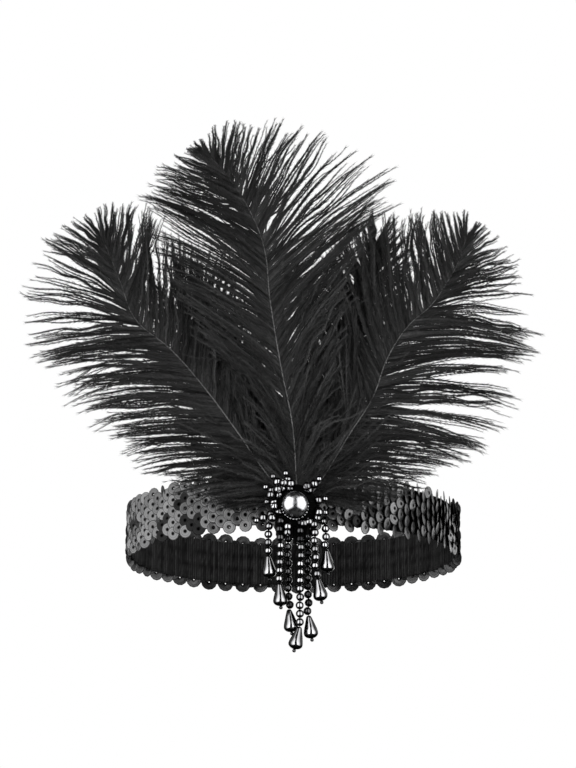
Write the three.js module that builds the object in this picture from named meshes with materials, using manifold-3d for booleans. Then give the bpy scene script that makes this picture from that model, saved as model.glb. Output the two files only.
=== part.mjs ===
// A flapper headband: an elastic band covered in sequins, with five ostrich plumes and a beaded brooch
// that hangs seven strings of beads. Millimetres, +Z up, the front faces -Y.
// The origin is the middle of the band's loop, at half its height, where the head goes.
import * as THREE from "three";
import { mergeVertices } from "three/addons/utils/BufferGeometryUtils.js";
import Module from "manifold-3d";

const wasm = await Module();
wasm.setup();

// Clearance between pieces that touch
const seatGap = 0.3;

// Elastic band
const elasticHalfWidth = 83.3;
const elasticHalfDepth = 87.5;
const elasticWall = 1.3;
const elasticHeight = 22;

// Sequins: each pair of neighbouring columns is one shingle with a scallop at both ends
const shinglePitch = 10.2;
const sequinDiameter = 7;
const sequinReach = 3.8;
const shoulderReach = 1.7;
const shingleLap = 1.4;
const shingleThickness = 1.3;
const shingleTilt = THREE.MathUtils.degToRad(4);

// Brooch
const broochAcross = 0.8;
const broochBelow = 4.5;
const broochRadius = 10.5;
const broochThickness = 3.4;
const pearlDiameter = 12.4;
const pearlBelow = 0.8;

// Beads, drops and their thread
const beadDiameter = 3.9;
const beadPitch = 4;
const seedDiameter = 3;
const threadRadius = 0.45;
const beadSides = 10;
const dropDiameter = 7;
const dropLength = 10.8;
const dropNeckRadius = 0.9;
const stopBeadDiameter = 1.8;

// Plumes
const plumeHeight = 184.9;
const quillRadius = 1.05;
const quillTipRadius = 0.5;
const quillSides = 6;
const quillFoot = 4;
const vaneThickness = 1.1;
const ridgeHeight = 0.9;
const barbReach = 66;
const valleyReach = 0.84;
const barbShares = [0, 0.05, 0.5, 1];

// What the sequins add to the band's outside, and the depths that the front pieces stand at
const shingleWidth = shinglePitch + shingleLap;
const shingleLift = Math.sin(shingleTilt) * shingleWidth;
const sequinDepth = seatGap + shingleLift + shingleThickness;
const bandFront = -(elasticHalfDepth + sequinDepth);
const plumeStep = vaneThickness + ridgeHeight + seatGap;
const backPlumeDepth = bandFront - seatGap - quillRadius;
const sidePlumeDepth = backPlumeDepth - plumeStep;
const centrePlumeDepth = sidePlumeDepth - plumeStep;
const broochBack = centrePlumeDepth - quillRadius - seatGap;
const broochFace = broochBack - broochThickness;

// Each plume: its height as a share of plumeHeight, and how far across its foot stands, in quill radii. spine
// and the two vanes are tables: across, up and lean (towards the back) are shares of the plume's height, at is a
// share of the spine's length, angle is in degrees from the spine, reach is a share of barbReach, and droop is
// the turn of a lock along its length, in degrees.
const plumes = [
  {
    name: "plume_left",
    height: 0.76,
    foot: 0.95,
    depth: sidePlumeDepth,
    locksPerSide: 8,
    spine: [
      { across: 0, up: 0, lean: 0 },
      { across: -0.088, up: 0.102, lean: 0 },
      { across: -0.209, up: 0.279, lean: 0.011 },
      { across: -0.332, up: 0.451, lean: 0.04 },
      { across: -0.438, up: 0.577, lean: 0.062 },
      { across: -0.565, up: 0.692, lean: 0.076 },
      { across: -0.616, up: 0.82, lean: 0.08 },
      { across: -0.656, up: 0.919, lean: 0.064 },
      { across: -0.693, up: 1, lean: 0.036 },
    ],
    left: [
      { at: 0.1, angle: 66, reach: 0.34, droop: 12 },
      { at: 0.18, angle: 56, reach: 0.66, droop: 20 },
      { at: 0.3, angle: 47, reach: 0.8, droop: 22 },
      { at: 0.45, angle: 40, reach: 0.87, droop: 24 },
      { at: 0.58, angle: 36, reach: 0.89, droop: 24 },
      { at: 0.73, angle: 33, reach: 0.78, droop: 24 },
      { at: 0.84, angle: 28, reach: 0.62, droop: 20 },
      { at: 0.93, angle: 20, reach: 0.36, droop: 12 },
      { at: 0.98, angle: 8, reach: 0.2, droop: 4 },
    ],
    right: [
      { at: 0.1, angle: 24, reach: 0.42, droop: 0 },
      { at: 0.25, angle: 34, reach: 0.72, droop: -8 },
      { at: 0.45, angle: 46, reach: 0.84, droop: -14 },
      { at: 0.58, angle: 56, reach: 0.88, droop: -18 },
      { at: 0.73, angle: 60, reach: 0.84, droop: -18 },
      { at: 0.84, angle: 50, reach: 0.6, droop: -12 },
      { at: 0.93, angle: 32, reach: 0.38, droop: -6 },
      { at: 0.98, angle: 12, reach: 0.2, droop: 0 },
    ],
  },
  {
    name: "plume_center",
    height: 1,
    foot: 1.71,
    depth: centrePlumeDepth,
    locksPerSide: 9,
    spine: [
      { across: 0, up: 0, lean: 0 },
      { across: -0.003, up: 0.091, lean: 0 },
      { across: -0.013, up: 0.223, lean: 0.001 },
      { across: -0.039, up: 0.359, lean: 0.008 },
      { across: -0.072, up: 0.567, lean: 0.02 },
      { across: -0.088, up: 0.71, lean: 0.022 },
      { across: -0.129, up: 0.819, lean: 0.012 },
      { across: -0.194, up: 0.926, lean: -0.01 },
      { across: -0.237, up: 0.975, lean: -0.026 },
      { across: -0.275, up: 1, lean: -0.044 },
    ],
    left: [
      { at: 0.06, angle: 24, reach: 0.3, droop: 4 },
      { at: 0.14, angle: 26, reach: 0.6, droop: 8 },
      { at: 0.25, angle: 32, reach: 0.76, droop: 14 },
      { at: 0.4, angle: 38, reach: 0.84, droop: 18 },
      { at: 0.54, angle: 42, reach: 0.95, droop: 22 },
      { at: 0.67, angle: 42, reach: 0.97, droop: 20 },
      { at: 0.78, angle: 34, reach: 0.76, droop: 16 },
      { at: 0.9, angle: 24, reach: 0.38, droop: 10 },
      { at: 0.96, angle: 12, reach: 0.18, droop: 4 },
      { at: 0.99, angle: 2, reach: 0.08, droop: 0 },
    ],
    right: [
      { at: 0.06, angle: 24, reach: 0.34, droop: 4 },
      { at: 0.14, angle: 22, reach: 0.68, droop: 10 },
      { at: 0.25, angle: 30, reach: 0.84, droop: 16 },
      { at: 0.4, angle: 38, reach: 0.95, droop: 18 },
      { at: 0.54, angle: 47, reach: 1.16, droop: 18 },
      { at: 0.64, angle: 47, reach: 1.06, droop: 16 },
      { at: 0.7, angle: 43, reach: 0.88, droop: 14 },
      { at: 0.78, angle: 44, reach: 0.66, droop: 12 },
      { at: 0.9, angle: 44, reach: 0.34, droop: 8 },
      { at: 0.96, angle: 38, reach: 0.18, droop: 4 },
      { at: 0.99, angle: 14, reach: 0.08, droop: 0 },
    ],
  },
  {
    name: "plume_right",
    height: 0.76,
    foot: 3.33,
    depth: sidePlumeDepth,
    locksPerSide: 8,
    spine: [
      { across: 0, up: 0, lean: 0 },
      { across: 0.076, up: 0.102, lean: 0 },
      { across: 0.166, up: 0.254, lean: 0.011 },
      { across: 0.25, up: 0.393, lean: 0.036 },
      { across: 0.307, up: 0.547, lean: 0.058 },
      { across: 0.382, up: 0.667, lean: 0.074 },
      { across: 0.463, up: 0.743, lean: 0.08 },
      { across: 0.513, up: 0.816, lean: 0.078 },
      { across: 0.554, up: 0.886, lean: 0.064 },
      { across: 0.594, up: 1, lean: 0.036 },
    ],
    left: [
      { at: 0.1, angle: 26, reach: 0.42, droop: 4 },
      { at: 0.25, angle: 42, reach: 0.8, droop: -8 },
      { at: 0.39, angle: 46, reach: 0.92, droop: -14 },
      { at: 0.53, angle: 44, reach: 1, droop: -16 },
      { at: 0.65, angle: 48, reach: 0.92, droop: -16 },
      { at: 0.84, angle: 52, reach: 0.62, droop: -14 },
      { at: 0.92, angle: 40, reach: 0.32, droop: -6 },
      { at: 0.98, angle: 14, reach: 0.18, droop: 0 },
    ],
    right: [
      { at: 0.1, angle: 62, reach: 0.4, droop: 14 },
      { at: 0.18, angle: 58, reach: 0.9, droop: 24 },
      { at: 0.25, angle: 56, reach: 0.98, droop: 26 },
      { at: 0.39, angle: 54, reach: 1.06, droop: 28 },
      { at: 0.53, angle: 50, reach: 1.03, droop: 30 },
      { at: 0.65, angle: 42, reach: 0.94, droop: 28 },
      { at: 0.75, angle: 32, reach: 0.7, droop: 20 },
      { at: 0.84, angle: 32, reach: 0.5, droop: 16 },
      { at: 0.9, angle: 28, reach: 0.34, droop: 12 },
      { at: 0.98, angle: 12, reach: 0.16, droop: 0 },
    ],
  },
  {
    name: "back_plume_left",
    height: 0.573,
    foot: -0.86,
    depth: backPlumeDepth,
    locksPerSide: 5,
    spine: [
      { across: 0, up: 0, lean: 0 },
      { across: -0.082, up: 0.19, lean: 0 },
      { across: -0.182, up: 0.38, lean: 0.03 },
      { across: -0.312, up: 0.62, lean: 0.1 },
      { across: -0.442, up: 0.84, lean: 0.16 },
      { across: -0.542, up: 1, lean: 0.19 },
    ],
    left: [
      { at: 0.13, angle: 24, reach: 0.3, droop: 4 },
      { at: 0.2, angle: 30, reach: 0.46, droop: 8 },
      { at: 0.5, angle: 32, reach: 0.6, droop: 12 },
      { at: 0.8, angle: 24, reach: 0.5, droop: 10 },
      { at: 0.96, angle: 10, reach: 0.24, droop: 4 },
    ],
    right: [
      { at: 0.13, angle: 24, reach: 0.34, droop: 0 },
      { at: 0.2, angle: 24, reach: 0.5, droop: 0 },
      { at: 0.5, angle: 30, reach: 0.6, droop: -6 },
      { at: 0.8, angle: 36, reach: 0.46, droop: -8 },
      { at: 0.96, angle: 16, reach: 0.24, droop: 0 },
    ],
  },
  {
    name: "back_plume_right",
    height: 0.79,
    foot: 1.52,
    depth: backPlumeDepth,
    locksPerSide: 6,
    spine: [
      { across: 0, up: 0, lean: 0 },
      { across: 0.039, up: 0.14, lean: 0 },
      { across: 0.104, up: 0.36, lean: 0.04 },
      { across: 0.184, up: 0.62, lean: 0.11 },
      { across: 0.244, up: 0.83, lean: 0.155 },
      { across: 0.284, up: 1, lean: 0.17 },
    ],
    left: [
      { at: 0.1, angle: 26, reach: 0.34, droop: 4 },
      { at: 0.2, angle: 28, reach: 0.58, droop: 6 },
      { at: 0.5, angle: 36, reach: 0.68, droop: 10 },
      { at: 0.78, angle: 32, reach: 0.54, droop: 8 },
      { at: 0.96, angle: 14, reach: 0.28, droop: 2 },
    ],
    right: [
      { at: 0.1, angle: 24, reach: 0.34, droop: 4 },
      { at: 0.2, angle: 26, reach: 0.6, droop: 4 },
      { at: 0.5, angle: 30, reach: 0.7, droop: 6 },
      { at: 0.78, angle: 28, reach: 0.54, droop: 6 },
      { at: 0.96, angle: 14, reach: 0.28, droop: 2 },
    ],
  },
];

// Rays of beads round the pearl: the way each one points, in degrees from +X towards +Z, and how far out the
// middle of its last bead stands, as a share of the brooch's radius
const rays = [
  { points: 12, reach: 1.42 },
  { points: 48, reach: 1.65 },
  { points: 106, reach: 1.55 },
  { points: 127, reach: 1.68 },
  { points: 148, reach: 1.59 },
  { points: 173, reach: 1.3 },
  { points: 202, reach: 1.9 },
  { points: 310, reach: 0.92 },
  { points: 330, reach: 1.5 },
  { points: 346, reach: 1.42 },
];

// Strings of beads: how far across each hangs, from the brooch's middle, and how far its first bead's middle
// lies below it, both as shares of the brooch's radius, its beads, and the row that it hangs in
const strings = [
  { across: -1.24, below: 0.94, beads: 4, row: "rim" },
  { across: -0.72, below: 0.77, beads: 8, row: "front" },
  { across: -0.28, below: 1.14, beads: 10, row: "rim" },
  { across: 0.2, below: 0.85, beads: 13, row: "front" },
  { across: 0.61, below: 1.05, beads: 11, row: "rim" },
  { across: 1.01, below: 0.93, beads: 7, row: "front" },
  { across: 1.42, below: 1.06, beads: 3, row: "rim" },
];

const headband = new THREE.Group();

function material(color, roughness, metalness) {
  return new THREE.MeshStandardMaterial({ color, roughness, metalness });
}

const elasticCloth = material(0x1b1b1c, 0.85, 0);
const sequinFoil = material(0x2a2a2c, 0.3, 0.4);
const feather = material(0x161616, 0.75, 0);
const hematite = material(0x222226, 0.15, 0.9);
const silverPearl = material(0x8d8f93, 0.18, 0.9);

// The solid of a closed geometry, without the faces that collapse at a pole
function solidOf(geometry) {
  const bare = geometry.index ? geometry.toNonIndexed() : geometry.clone();
  bare.deleteAttribute("normal");
  bare.deleteAttribute("uv");
  const merged = mergeVertices(bare, 1e-4);
  const corners = merged.index.array;
  const triVerts = [];
  for (let i = 0; i < corners.length; i += 3) {
    const [a, b, c] = [corners[i], corners[i + 1], corners[i + 2]];
    if (a !== b && b !== c && c !== a) triVerts.push(a, b, c);
  }
  return new wasm.Manifold(
    new wasm.Mesh({
      numProp: 3,
      vertProperties: new Float32Array(merged.attributes.position.array),
      triVerts: new Uint32Array(triVerts),
    }),
  );
}

function geometryOf(solid) {
  const mesh = solid.getMesh();
  const geometry = new THREE.BufferGeometry();
  geometry.setAttribute("position", new THREE.BufferAttribute(mesh.vertProperties, 3));
  geometry.setIndex(new THREE.BufferAttribute(mesh.triVerts, 1));
  geometry.computeVertexNormals();
  return geometry;
}

function fuse(geometries) {
  const [first, ...others] = geometries.map(solidOf);
  return geometryOf(others.reduce((joined, solid) => joined.add(solid), first));
}

function addPiece(name, geometry, look) {
  const mesh = new THREE.Mesh(geometry, look);
  mesh.name = name;
  headband.add(mesh);
  return mesh;
}

// Moves every corner of a geometry to where place(x, y, z) says
function reshape(geometry, place) {
  const position = geometry.attributes.position;
  for (let i = 0; i < position.count; i++) {
    const spot = place(position.getX(i), position.getY(i), position.getZ(i));
    position.setXYZ(i, spot.x, spot.y, spot.z);
  }
  return geometry;
}

// The value of one column of a table, between the rows on either side of a share
function between(rows, share, column) {
  const next = rows.findIndex((row) => row.at >= share);
  if (next === 0) return rows[0][column];
  if (next < 0) return rows[rows.length - 1][column];
  const [low, high] = [rows[next - 1], rows[next]];
  return THREE.MathUtils.mapLinear(share, low.at, high.at, low[column], high[column]);
}

// The elastic: one wall round the whole loop
function elasticBand() {
  const outline = new THREE.Shape();
  outline.absellipse(0, 0, elasticHalfWidth, elasticHalfDepth, 0, 2 * Math.PI);
  const inside = new THREE.Path();
  inside.absellipse(0, 0, elasticHalfWidth - elasticWall, elasticHalfDepth - elasticWall, 0, 2 * Math.PI);
  outline.holes.push(inside);
  const wall = new THREE.ExtrudeGeometry(outline, {
    depth: elasticHeight,
    bevelEnabled: false,
    curveSegments: 25,
  });
  return wall.translate(0, 0, -elasticHeight / 2);
}

// A shingle's outline: a sequin standing past each edge of the elastic, and the lower shoulder of the one
// that is half hidden beside it
function shingleOutline() {
  const edge = elasticHeight / 2;
  const half = shingleWidth / 2;
  const crown = -half + sequinDiameter / 2;
  const crownWidth = sequinDiameter * 0.45;
  const corners = [
    { x: -half, y: edge },
    { x: crown - crownWidth / 2, y: edge + sequinReach },
    { x: crown + crownWidth / 2, y: edge + sequinReach },
    { x: half, y: edge + shoulderReach },
  ];
  const shape = new THREE.Shape();
  shape.moveTo(-half, -edge);
  for (const corner of corners.slice(1)) shape.lineTo(corner.x, -corner.y);
  for (const corner of corners.reverse()) shape.lineTo(corner.x, corner.y);
  return shape;
}

// The sequins: shingles round the elastic, each with its left side over its neighbour
function sequinCover() {
  const loop = new THREE.EllipseCurve(0, 0, elasticHalfWidth, elasticHalfDepth, 0, 2 * Math.PI);
  const count = Math.round(loop.getLength() / shinglePitch);
  const shingles = [];
  for (let i = 0; i < count; i++) {
    const middle = loop.getPointAt(i / count);
    const along = loop.getTangentAt(i / count);
    const facing = new THREE.Vector3(along.y, -along.x, 0);
    const tangent = new THREE.Vector3(along.x, along.y, 0);
    const up = new THREE.Vector3(0, 0, 1);
    tangent.applyAxisAngle(up, shingleTilt);
    const face = facing.clone().applyAxisAngle(up, shingleTilt);
    const seat = new THREE.Vector3(middle.x, middle.y, 0).addScaledVector(facing, seatGap + shingleLift / 2);
    const shingle = new THREE.ExtrudeGeometry(shingleOutline(), {
      depth: shingleThickness,
      bevelEnabled: false,
    });
    shingle.applyMatrix4(new THREE.Matrix4().makeBasis(tangent, up, face).setPosition(seat));
    shingles.push(shingle);
  }
  return fuse(shingles);
}

// A plume's spine, from the foot of its quill to its tip
function spineOf(plume) {
  const height = plume.height * plumeHeight;
  const foot = new THREE.Vector3(plume.foot * quillRadius, plume.depth, -quillFoot);
  return new THREE.CatmullRomCurve3(
    plume.spine.map((row) =>
      new THREE.Vector3(row.across, row.lean, row.up).multiplyScalar(height).add(foot),
    ),
    false,
    "centripetal",
  );
}

// The plume's own directions at a share of its spine: along it, out of its face, and to its right
function directionsAt(spine, share) {
  const along = spine.getTangentAt(share);
  const front = new THREE.Vector3(0, -1, 0);
  front.addScaledVector(along, -front.dot(along)).normalize();
  const right = new THREE.Vector3().crossVectors(front, along).negate();
  return { along, front, right };
}

// The quill's bare foot: a rod along the spine that ends inside the vanes
function quillFootRod(spine, end) {
  const rod = new THREE.CylinderGeometry(1, 1, 1, quillSides, 2);
  return reshape(rod, (x, y, z) => {
    const share = end * (y + 0.5);
    const { front, right } = directionsAt(spine, share);
    const radius = THREE.MathUtils.lerp(quillRadius, quillTipRadius, share);
    return spine
      .getPointAt(share)
      .addScaledVector(right, x * radius)
      .addScaledVector(front, z * radius);
  });
}

// The quill between its two vanes, as one sheet that is as thick as the quill along the spine. Each vane is
// gathered into locks: a lock is a ridge that ends in a tip, and the valleys between the locks end short.
function vanes(spine, plume) {
  const lines = 2 * plume.locksPerSide;
  const steps = barbShares.length - 1;
  const sheet = new THREE.BoxGeometry(1, 1, 1, 2 * steps, lines, 1);
  const first = plume.left[0].at;
  const last = plume.left[plume.left.length - 1].at;
  return reshape(sheet, (x, y, z) => {
    const column = Math.round(2 * steps * x);
    const out = barbShares[Math.abs(column)];
    const rows = column < 0 ? plume.left : plume.right;
    const line = Math.round((y + 0.5) * lines);
    const ridge = line % 2 === 1 || line === lines;
    const share = THREE.MathUtils.lerp(first, last, line / lines);
    const reach = between(rows, share, "reach") * barbReach * (ridge ? 1 : valleyReach) * out;
    const turn = THREE.MathUtils.degToRad(between(rows, share, "droop")) * out;
    const heading = THREE.MathUtils.degToRad(between(rows, share, "angle")) + turn / 2;
    const rise = column === 0 ? 0 : ridgeHeight * Math.min(1, 2 * out) * (ridge ? 0.5 : -0.5);
    const quill = THREE.MathUtils.lerp(quillRadius, quillTipRadius, share);
    const thickness = column === 0 ? 2 * quill : vaneThickness;
    const { along, front, right } = directionsAt(spine, share);
    return spine
      .getPointAt(share)
      .addScaledVector(along, reach * Math.cos(heading))
      .addScaledVector(right, Math.sign(column) * reach * Math.sin(heading))
      .addScaledVector(front, rise + z * thickness);
  });
}

// A plume: its quill and vanes, fused with the quill's foot
function plumeBody(plume) {
  const spine = spineOf(plume);
  return fuse([vanes(spine, plume), quillFootRod(spine, plume.left[0].at + 0.03)]);
}

// A ball's profile about the lathe's axis, between its two necks
function ballProfile(middle, diameter) {
  const flank = 0.21 * diameter;
  const radius = 0.47 * diameter;
  return [new THREE.Vector2(radius, middle - flank), new THREE.Vector2(radius, middle + flank)];
}

// One ray: beads on a thread that starts inside the brooch's base, with a smaller bead at its end
function ray(row) {
  const reach = row.reach * broochRadius;
  const profile = [new THREE.Vector2(0, reach + seedDiameter / 2), ...ballProfile(reach, seedDiameter).reverse()];
  const firstStep = (seedDiameter + beadDiameter) / 2;
  const inner = (pearlDiameter + beadDiameter) / 2 + seatGap;
  for (let middle = reach - firstStep; middle > inner; middle -= beadPitch) {
    profile.push(new THREE.Vector2(threadRadius, middle + beadDiameter / 2));
    profile.push(...ballProfile(middle, beadDiameter).reverse());
  }
  const threadEnd = pearlDiameter / 2 + seatGap;
  profile.push(new THREE.Vector2(threadRadius, threadEnd), new THREE.Vector2(0, threadEnd));
  const string = new THREE.LatheGeometry(profile.reverse(), beadSides);
  string.rotateZ(THREE.MathUtils.degToRad(row.points - 90));
  return string;
}

// The brooch: a round base with the rays of beads sewn to its face
function broochBody() {
  const base = new THREE.CylinderGeometry(broochRadius, broochRadius, broochThickness, 16);
  base.rotateX(Math.PI / 2).translate(0, 0, broochThickness / 2);
  const spokes = rays.map((row) => ray(row).translate(0, 0, broochThickness));
  return fuse([base, ...spokes]);
}

// One string: beads threaded down from its first bead, and the thread that its drop hangs on
function beadString(row) {
  const profile = [new THREE.Vector2(0, beadDiameter / 2), new THREE.Vector2(threadRadius, beadDiameter / 2)];
  for (let i = 0; i < row.beads; i++) {
    profile.push(...ballProfile(-i * beadPitch, beadDiameter).reverse());
    profile.push(new THREE.Vector2(threadRadius, -(i + 0.5) * beadPitch));
  }
  profile.push(new THREE.Vector2(0, -(row.beads - 0.5) * beadPitch));
  return new THREE.LatheGeometry(profile.reverse(), beadSides);
}

// A drop, with the small bead that stops it on its thread
function dropBead() {
  const radius = dropDiameter / 2;
  const stop = stopBeadDiameter / 2;
  const profile = [
    new THREE.Vector2(0, 0),
    new THREE.Vector2(dropNeckRadius, 0),
    new THREE.Vector2(radius * 0.66, -dropLength * 0.38),
    new THREE.Vector2(radius, -dropLength * 0.66),
    new THREE.Vector2(radius * 0.8, -dropLength * 0.9),
    new THREE.Vector2(stop * 0.7, -dropLength),
    new THREE.Vector2(stop, -dropLength - stop),
    new THREE.Vector2(0, -dropLength - 2 * stop),
  ];
  return new THREE.LatheGeometry(profile.reverse(), beadSides);
}

addPiece("elastic_band", elasticBand(), elasticCloth);
addPiece("sequin_cover", sequinCover(), sequinFoil);
for (const plume of plumes) addPiece(plume.name, plumeBody(plume), feather);

// The brooch group's own +Z is out of its face, and its own -Y is down
const brooch = new THREE.Group();
brooch.position.set(broochAcross, broochBack, -broochBelow);
brooch.rotation.x = Math.PI / 2;
headband.add(brooch);
const base = addPiece("beaded_brooch", broochBody(), hematite);
brooch.add(base);
const pearl = addPiece("center_pearl", new THREE.SphereGeometry(pearlDiameter / 2, 12, 8), silverPearl);
pearl.position.set(0, -pearlBelow, broochThickness + seatGap + pearlDiameter / 2);
brooch.add(pearl);

const rowDepths = {
  rim: (broochBack + broochFace) / 2,
  front: broochFace - seatGap - beadDiameter / 2,
};
strings.forEach((row, i) => {
  const string = addPiece(`bead_string_${i + 1}`, beadString(row).rotateX(Math.PI / 2), hematite);
  const across = broochAcross + row.across * broochRadius;
  const top = -broochBelow - row.below * broochRadius;
  string.position.set(across, rowDepths[row.row], top);
  const drop = addPiece(`drop_bead_${i + 1}`, dropBead().rotateX(Math.PI / 2), hematite);
  drop.position.set(across, rowDepths[row.row], top - (row.beads - 0.5) * beadPitch - seatGap);
});

export default headband;
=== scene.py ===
# A flapper headband in Blender: a ribbed elastic band covered in cupped sequins, five ostrich plumes, and a
# beaded brooch that hangs seven strings of beads. Metres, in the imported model's own frame.
import math

import bpy
import numpy as np
from mathutils import Matrix, Vector


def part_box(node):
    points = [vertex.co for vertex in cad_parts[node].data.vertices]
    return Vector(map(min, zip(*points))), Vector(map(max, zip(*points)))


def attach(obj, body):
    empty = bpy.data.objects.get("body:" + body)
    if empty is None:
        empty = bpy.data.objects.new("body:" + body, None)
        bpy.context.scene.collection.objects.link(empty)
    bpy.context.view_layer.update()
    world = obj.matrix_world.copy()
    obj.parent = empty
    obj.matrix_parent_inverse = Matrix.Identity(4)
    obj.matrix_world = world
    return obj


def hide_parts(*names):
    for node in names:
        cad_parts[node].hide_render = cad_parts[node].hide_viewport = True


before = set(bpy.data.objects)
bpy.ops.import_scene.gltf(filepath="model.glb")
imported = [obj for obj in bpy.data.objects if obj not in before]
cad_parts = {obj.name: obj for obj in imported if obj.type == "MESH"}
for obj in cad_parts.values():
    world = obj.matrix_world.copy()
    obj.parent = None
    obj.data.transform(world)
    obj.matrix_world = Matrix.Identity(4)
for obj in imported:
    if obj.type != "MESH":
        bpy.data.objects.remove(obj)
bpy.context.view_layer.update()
mm = 0.001

# The camera stands far off and a little below the band, and looks slightly up, as the photograph does.
camera_place = (-2.6 * mm, -1375 * mm, -262.3 * mm)
camera_tilt = math.radians(14)
camera_lens = 126.9

bpy.ops.object.camera_add(location=camera_place, rotation=(math.radians(90) + camera_tilt, 0, 0))
camera = bpy.context.object
camera.data.lens = camera_lens
camera.data.sensor_width = 36
bpy.context.scene.camera = camera

# The studio: a round pale floor well below the hanging drops, a white surround, and soft boxes to the left,
# the right, above and behind. Each pair of highlights on the beads is the two side boxes.
floor_below = -0.46
floor_radius = 1.5
box_target = (0, -0.05, 0.03)
bpy.context.scene.view_settings.view_transform = "Standard"

bpy.ops.mesh.primitive_circle_add(
    vertices=96, radius=floor_radius, fill_type="NGON", location=(0, 0, floor_below)
)
floor = bpy.context.object
floor.name = "pale_floor"
floor.visible_glossy = False
paper = bpy.data.materials.new("floor_paper")
paper.use_nodes = True
paper.node_tree.nodes["Principled BSDF"].inputs["Base Color"].default_value = (0.86, 0.86, 0.86, 1)
paper.node_tree.nodes["Principled BSDF"].inputs["Roughness"].default_value = 0.9
floor.data.materials.append(paper)


def soft_box(name, place, size, watts):
    """A rectangular soft box that faces the brooch."""
    bpy.ops.object.light_add(type="AREA", location=place)
    box = bpy.context.object
    box.name = name
    box.data.shape = "RECTANGLE"
    box.data.size, box.data.size_y = size
    box.data.energy = watts
    box.visible_camera = False
    box.rotation_mode = "QUATERNION"
    box.rotation_quaternion = (Vector(place) - Vector(box_target)).to_track_quat("Z", "Y")


soft_box("left_wall", (-1.95, -1.0, 0.25), (4.6, 4.6), 241)
soft_box("right_wall", (1.98, -1.0, 0.25), (4.4, 4.6), 220)
soft_box("top_box", (0, 1.0, 2.4), (3.2, 1.2), 26)
soft_box("back_box", (1.6, 1.9, 0.8), (3.6, 2.4), 48)

world = bpy.data.worlds.new("white_surround")
bpy.context.scene.world = world
world.use_nodes = True
sky = world.node_tree.nodes
sky.clear()
seen = sky.new("ShaderNodeLightPath")
dim = sky.new("ShaderNodeBackground")
dim.inputs["Color"].default_value = (1, 1, 1, 1)
dim.inputs["Strength"].default_value = 0.05
white = sky.new("ShaderNodeBackground")
white.inputs["Color"].default_value = (1, 1, 1, 1)
white.inputs["Strength"].default_value = 1.0
either = sky.new("ShaderNodeMixShader")
surround = sky.new("ShaderNodeOutputWorld")
world.node_tree.links.new(seen.outputs["Is Camera Ray"], either.inputs["Fac"])
world.node_tree.links.new(dim.outputs["Background"], either.inputs[1])
world.node_tree.links.new(white.outputs["Background"], either.inputs[2])
world.node_tree.links.new(either.outputs["Shader"], surround.inputs["Surface"])

# The elastic: a knitted black band of upright ribs, sewn into a loop. It is stretched to a head's size, and
# its bare inside shows at the back, where painted shade darkens the part behind the hanging strings.
elastic_half_width = 83.3 * mm
elastic_half_depth = 87.5 * mm
elastic_wall = 1.3 * mm
elastic_height = 22 * mm
rib_count = 350
rib_depth = 0.45 * mm
rib_rows = 9
stitch_rows = (3, 6)
shade_across = 0.8 * mm
shade_half_width = 13 * mm
shade_strength = 0.85


def deselect():
    """Leaves nothing selected, so that the next operator acts on the new piece alone."""
    if bpy.context.mode != "OBJECT":
        bpy.ops.object.mode_set(mode="OBJECT")
    bpy.ops.object.select_all(action="DESELECT")


def pick_vertices(piece, test):
    """Goes into edit mode with just the vertices that pass the test selected."""
    bpy.ops.object.mode_set(mode="EDIT")
    bpy.ops.mesh.select_mode(type="VERT")
    bpy.ops.mesh.select_all(action="DESELECT")
    bpy.ops.object.mode_set(mode="OBJECT")
    for vertex in piece.data.vertices:
        vertex.select = test(vertex)
    bpy.ops.object.mode_set(mode="EDIT")


def pick_faces(piece, test):
    """Goes into edit mode with just the faces that pass the test selected."""
    bpy.ops.object.mode_set(mode="EDIT")
    bpy.ops.mesh.select_mode(type="FACE")
    bpy.ops.mesh.select_all(action="DESELECT")
    bpy.ops.object.mode_set(mode="OBJECT")
    for face in piece.data.polygons:
        face.select = test(face)
    bpy.ops.object.mode_set(mode="EDIT")


def apply_modifiers(piece):
    bpy.context.view_layer.objects.active = piece
    for modifier in list(piece.modifiers):
        bpy.ops.object.modifier_apply(modifier=modifier.name)


def finish_piece(piece, name, material, slot, *nodes):
    """Names a finished piece and gives it its finish, and it takes its CAD nodes' place on the headband."""
    piece.name = name
    piece.data.name = name
    if material.name not in piece.data.materials:
        piece.data.materials.append(material)
    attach(piece, "root")
    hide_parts(*nodes)


def corners_of(piece):
    """A piece's vertices as an array of places."""
    places = np.empty(len(piece.data.vertices) * 3)
    piece.data.vertices.foreach_get("co", places)
    return places.reshape(-1, 3)


def move_corners(piece, places):
    piece.data.vertices.foreach_set("co", np.asarray(places).reshape(-1))
    piece.data.update()


def give_values(piece, name, values):
    """Stores one number for each vertex, which the piece's material reads."""
    piece.data.attributes.new(name, "FLOAT", "POINT").data.foreach_set("value", values)


chance = np.random.default_rng(7)
deselect()
bpy.ops.mesh.primitive_cylinder_add(
    vertices=2 * rib_count, radius=elastic_half_depth, depth=elastic_height, end_fill_type="NOTHING"
)
elastic = bpy.context.object
bpy.ops.object.mode_set(mode="EDIT")
bpy.ops.transform.resize(value=(elastic_half_width / elastic_half_depth, 1, 1))
bpy.ops.mesh.select_mode(type="EDGE")
bpy.ops.mesh.select_all(action="DESELECT")
bpy.ops.object.mode_set(mode="OBJECT")
for edge in elastic.data.edges:
    low, high = (elastic.data.vertices[i].co.z for i in edge.vertices)
    edge.select = abs(high - low) > elastic_height / 2
bpy.ops.object.mode_set(mode="EDIT")
bpy.ops.mesh.subdivide(number_cuts=rib_rows - 1)
bpy.ops.object.mode_set(mode="OBJECT")

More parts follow.
